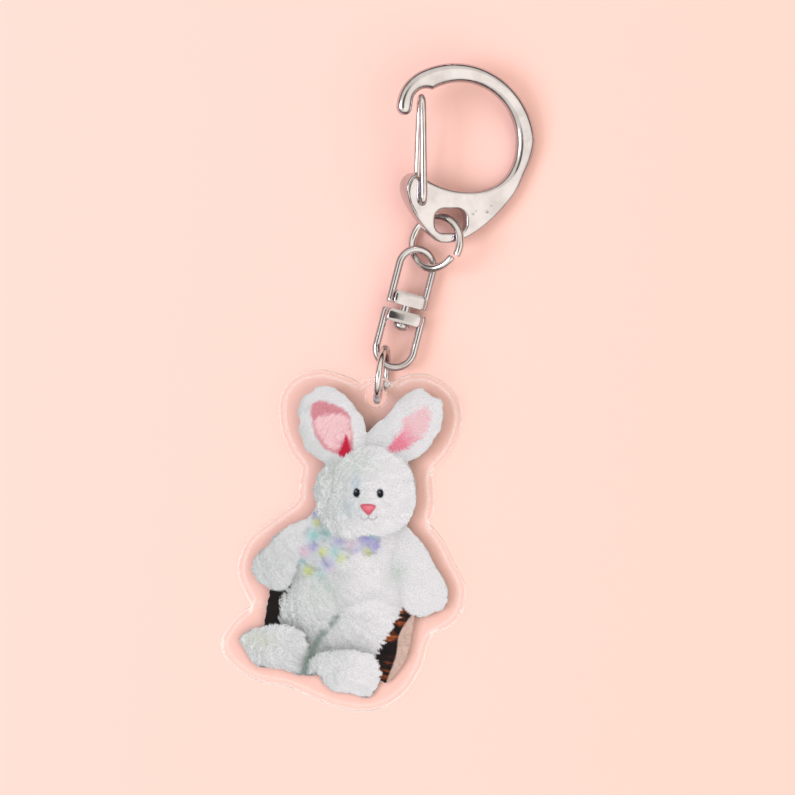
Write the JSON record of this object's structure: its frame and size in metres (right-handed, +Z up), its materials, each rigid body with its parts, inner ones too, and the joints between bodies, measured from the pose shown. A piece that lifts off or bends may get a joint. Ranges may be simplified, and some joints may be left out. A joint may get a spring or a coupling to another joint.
{
  "type": "keychain",
  "caption": "Clear acrylic charm with a printed plush rabbit picture, hung from a swivel and open jump rings on a sprung D-shaped snap hook.",
  "frame": {"origin": "under the middle of the whole keychain as it lies, on the surface that it lies on", "axes": "+Y along the chain from the foot of the charm towards the top of the hook, +X to the right seen from above, +Z up out of the front of the charm"},
  "size_m": [0.0546, 0.112, 0.0104],
  "materials": {
    "cast_nickel": "bright nickel plate on a die-cast body, with faint casting pits and small scratches",
    "bright_wire": "bright nickel-plated steel wire",
    "clear_acrylic": "clear polished acrylic with laser-cut edges",
    "picture_ink": "printed picture seen through the acrylic",
    "white_ink": "opaque white ink behind the picture"
  },
  "bodies": {
    "hook": {"hook_body": "cast_nickel"},
    "gate": {"hook_gate": "bright_wire"},
    "upper_ring": {"upper_jump_ring": "bright_wire"},
    "upper_loop": {"swivel_upper_loop": "cast_nickel", "swivel_rivet": "cast_nickel"},
    "lower_loop": {"swivel_lower_loop": "cast_nickel"},
    "lower_ring": {"lower_jump_ring": "bright_wire"},
    "charm": {"charm_acrylic_plate": "clear_acrylic", "charm_picture_ink": "picture_ink", "charm_white_ink": "white_ink", "charm_back_film": "clear_acrylic"}
  },
  "joints": [
    {"name": "gate_hinge", "type": "hinge", "parent": "hook", "child": "gate", "pos_m": [0.00775, 0.03247, 0.00533], "axis": [-0.2672, 0.1174, -0.9564], "range_deg": [0, 26], "stiffness_Nm_per_rad": 0.004, "springref_deg": -17.19},
    {"name": "upper_ring_swing", "type": "hinge", "parent": "hook", "child": "upper_ring", "pos_m": [0.01243, 0.02672, 0.00332], "axis": [-0.9636, -0.0326, 0.2652], "range_deg": [-12, 60]},
    {"name": "upper_loop_swing", "type": "hinge", "parent": "upper_ring", "child": "upper_loop", "pos_m": [0.00622, 0.02393, 0.00137], "axis": [-0.2593, 0.9201, -0.2936], "range_deg": [-20, 60]},
    {"name": "swivel_spin", "type": "hinge", "parent": "upper_loop", "child": "lower_loop", "pos_m": [0.00478, 0.01402, 0.00252], "axis": [0.2504, 0.9681, 0], "continuous": true},
    {"name": "lower_ring_swing", "type": "hinge", "parent": "lower_loop", "child": "lower_ring", "pos_m": [0.00062, 0.00506, 0.00277], "axis": [-0.6677, 0.7352, 0.1167], "range_deg": [-40, 60]},
    {"name": "charm_swing", "type": "hinge", "parent": "lower_ring", "child": "charm", "pos_m": [0.00073, 0.00267, 0.00524], "axis": [-0.9912, 0.1007, -0.0854], "range_deg": [-12, 90]}
  ]
}
